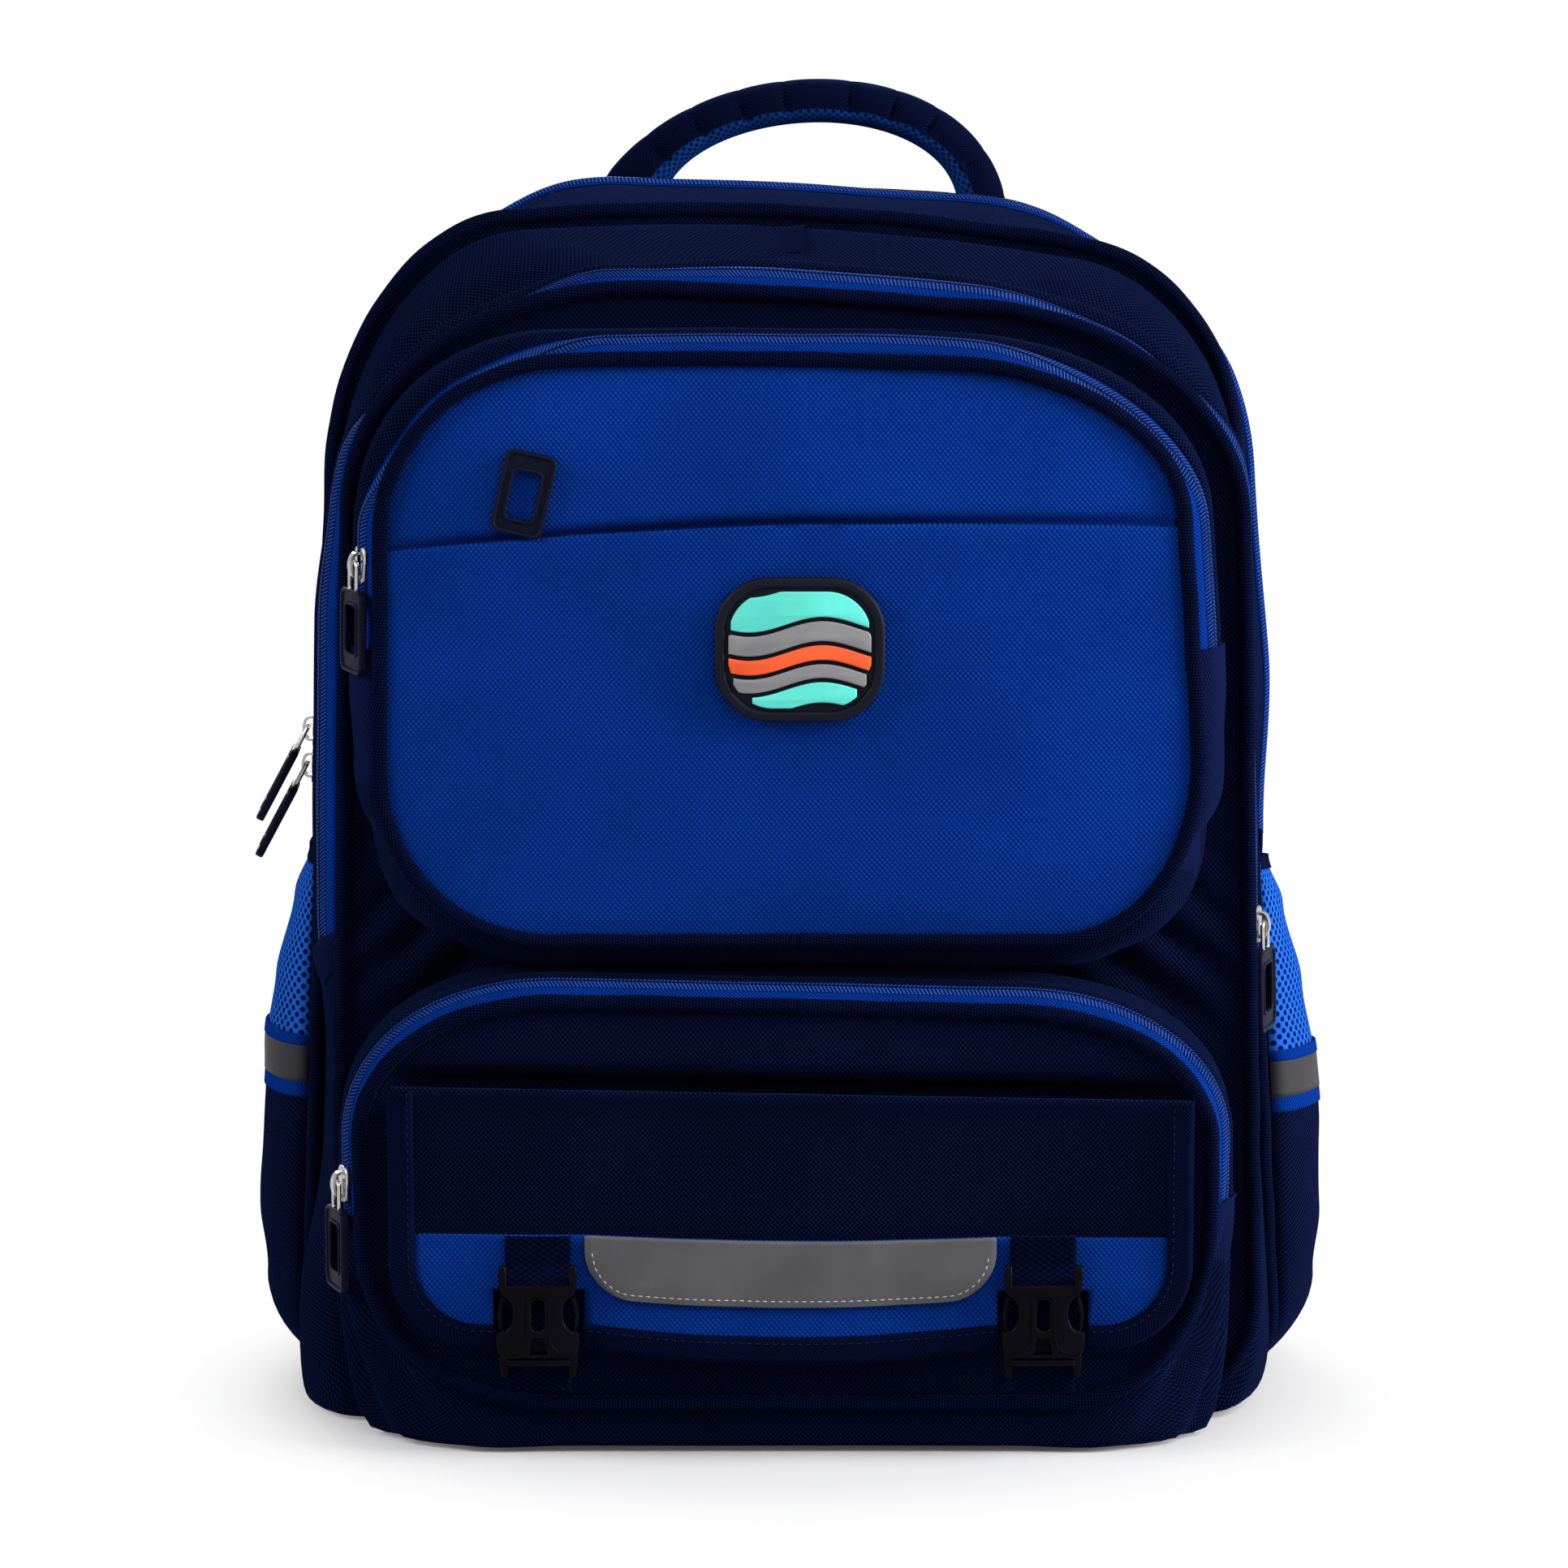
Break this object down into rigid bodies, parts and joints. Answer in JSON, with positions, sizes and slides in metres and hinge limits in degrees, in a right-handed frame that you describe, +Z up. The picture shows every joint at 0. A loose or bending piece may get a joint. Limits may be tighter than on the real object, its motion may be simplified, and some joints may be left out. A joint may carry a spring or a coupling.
{
  "type": "school backpack",
  "caption": "School backpack with zipped compartments stepped forward, a buckled front flap, mesh side pockets, padded carrying handle and padded shoulder straps.",
  "frame": {"origin": "on the floor under the main compartment, midway between the sides", "axes": "+Z up, -Y towards the front of the bag, +X to the right as seen from the front"},
  "size_m": [0.3732, 0.2332, 0.4476],
  "materials": {
    "navy_cloth": "woven polyester, matt",
    "royal_cloth": "woven polyester with a soft sheen",
    "zip_tape": "knitted tape with a nylon coil",
    "webbing": "woven strap",
    "mesh_cloth": "air mesh",
    "reflective": "grey reflective film",
    "black_plastic": "moulded, satin",
    "board": "sheet",
    "slider_metal": "nickel-plated die casting",
    "puller_rubber": "moulded, matt",
    "patch_rubber": "moulded in layers"
  },
  "bodies": {
    "bag": {"back_board": "board", "back_pad_left": "navy_cloth", "back_pad_right": "navy_cloth", "back_panel": "navy_cloth", "base_board": "board", "buckle_plug_left": "black_plastic", "buckle_plug_right": "black_plastic", "ladder_lock_left": "black_plastic", "ladder_lock_right": "black_plastic", "lower_pocket_gusset": "navy_cloth", "lower_pocket_panel": "navy_cloth", "lower_pocket_piping": "navy_cloth", "lower_pocket_zip": "zip_tape", "main_front_panel": "navy_cloth", "main_front_piping": "navy_cloth", "main_gusset": "navy_cloth", "main_rear_piping": "navy_cloth", "main_zip": "zip_tape", "middle_front_panel": "navy_cloth", "middle_gusset": "navy_cloth", "middle_piping": "navy_cloth", "middle_zip": "zip_tape", "pocket_webbing_left": "webbing", "pocket_webbing_right": "webbing", "rubber_patch": "patch_rubber", "shoulder_strap_left": "navy_cloth", "shoulder_strap_right": "navy_cloth", "side_pocket_left": "mesh_cloth", "side_pocket_right": "mesh_cloth", "slip_pocket_panel": "royal_cloth", "strap_webbing_left": "webbing", "strap_webbing_right": "webbing", "upper_pocket_gusset": "navy_cloth", "upper_pocket_panel": "royal_cloth", "upper_pocket_piping": "navy_cloth", "upper_pocket_zip": "zip_tape"},
    "flap": {"buckle_socket_left": "black_plastic", "buckle_socket_right": "black_plastic", "flap_blue_panel": "royal_cloth", "flap_panel": "navy_cloth", "flap_reflective_strip": "reflective", "flap_webbing_left": "webbing", "flap_webbing_right": "webbing"},
    "handle": {"carry_handle": "navy_cloth"},
    "slip_puller": {"slip_puller": "puller_rubber"},
    "buckle_prong_left_left": {"buckle_prong_left_left": "black_plastic"},
    "buckle_prong_left_right": {"buckle_prong_left_right": "black_plastic"},
    "buckle_prong_right_left": {"buckle_prong_right_left": "black_plastic"},
    "buckle_prong_right_right": {"buckle_prong_right_right": "black_plastic"},
    "main_upper_slider": {"main_upper_slider": "slider_metal"},
    "main_upper_puller": {"main_upper_puller": "puller_rubber"},
    "main_lower_slider": {"main_lower_slider": "slider_metal"},
    "main_lower_puller": {"main_lower_puller": "puller_rubber"},
    "middle_slider": {"middle_slider": "slider_metal"},
    "middle_puller": {"middle_puller": "puller_rubber"},
    "upper_pocket_slider": {"upper_pocket_slider": "slider_metal"},
    "upper_pocket_puller": {"upper_pocket_puller": "puller_rubber"},
    "lower_pocket_slider": {"lower_pocket_slider": "slider_metal"},
    "lower_pocket_puller": {"lower_pocket_puller": "puller_rubber"}
  },
  "joints": [
    {"name": "flap_hinge", "type": "hinge", "parent": "bag", "child": "flap", "pos_m": [0, -0.1236, 0.126], "axis": [-1, 0, 0], "range_deg": [0, 150]},
    {"name": "handle_fold", "type": "hinge", "parent": "bag", "child": "handle", "pos_m": [0.0065, 0.047, 0.41564], "axis": [1, 0, 0], "range_deg": [-50, 50]},
    {"name": "buckle_prong_left_left_press", "type": "hinge", "parent": "bag", "child": "buckle_prong_left_left", "pos_m": [-0.096, -0.129, 0.0455], "axis": [0, 1, 0], "range_deg": [0, 8], "stiffness_Nm_per_rad": 0.02},
    {"name": "buckle_prong_left_right_press", "type": "hinge", "parent": "bag", "child": "buckle_prong_left_right", "pos_m": [-0.072, -0.129, 0.0455], "axis": [0, -1, 0], "range_deg": [0, 8], "stiffness_Nm_per_rad": 0.02},
    {"name": "buckle_prong_right_left_press", "type": "hinge", "parent": "bag", "child": "buckle_prong_right_left", "pos_m": [0.072, -0.129, 0.0455], "axis": [0, 1, 0], "range_deg": [0, 8], "stiffness_Nm_per_rad": 0.02},
    {"name": "buckle_prong_right_right_press", "type": "hinge", "parent": "bag", "child": "buckle_prong_right_right", "pos_m": [0.096, -0.129, 0.0455], "axis": [0, -1, 0], "range_deg": [0, 8], "stiffness_Nm_per_rad": 0.02},
    {"name": "main_upper_zip_run", "type": "slide", "parent": "bag", "child": "main_upper_slider", "axis": [0.0373, 0, 0.9993], "range_m": [0, 0.06]},
    {"name": "main_upper_puller_swing", "type": "hinge", "parent": "main_upper_slider", "child": "main_upper_puller", "pos_m": [-0.16869, 0.02125, 0.22322], "axis": [0, 1, 0], "range_deg": [0, 120]},
    {"name": "main_lower_zip_run", "type": "slide", "parent": "bag", "child": "main_lower_slider", "axis": [0.0373, 0, 0.9993], "range_m": [-0.007, 0]},
    {"name": "main_lower_puller_swing", "type": "hinge", "parent": "main_lower_slider", "child": "main_lower_puller", "pos_m": [-0.16918, 0.02125, 0.21022], "axis": [0, 1, 0], "range_deg": [-3, 6]},
    {"name": "middle_zip_run", "type": "slide", "parent": "bag", "child": "middle_slider", "axis": [-0.026, 0, 0.9997], "range_m": [-0.003, 0.125]},
    {"name": "middle_puller_swing", "type": "hinge", "parent": "middle_slider", "child": "middle_puller", "pos_m": [0.16028, -0.0697, 0.17214], "axis": [-0.3323, -0.9431, -0.0086], "range_deg": [0, 150]},
    {"name": "upper_pocket_zip_run", "type": "slide", "parent": "bag", "child": "upper_pocket_slider", "axis": [0.0152, 0, 0.9999], "range_m": [-0.021, 0.007]},
    {"name": "upper_pocket_puller_swing", "type": "hinge", "parent": "upper_pocket_slider", "child": "upper_pocket_puller", "pos_m": [-0.14431, -0.10025, 0.30008], "axis": [-0.4263, 0.9046, 0.0065], "range_deg": [0, 150]},
    {"name": "lower_pocket_zip_run", "type": "slide", "parent": "bag", "child": "lower_pocket_slider", "axis": [0.0003, 0, 1], "range_m": [-0.002, 0.019]},
    {"name": "lower_pocket_puller_swing", "type": "hinge", "parent": "lower_pocket_slider", "child": "lower_pocket_puller", "pos_m": [-0.15189, -0.10992, 0.092], "axis": [-0.3695, 0.9292, 0.0001], "range_deg": [0, 150]},
    {"name": "slip_puller_swing", "type": "hinge", "parent": "bag", "child": "slip_puller", "pos_m": [-0.0905, -0.11222, 0.312], "axis": [0.9759, 0, -0.2181], "range_deg": [0, 90]}
  ]
}
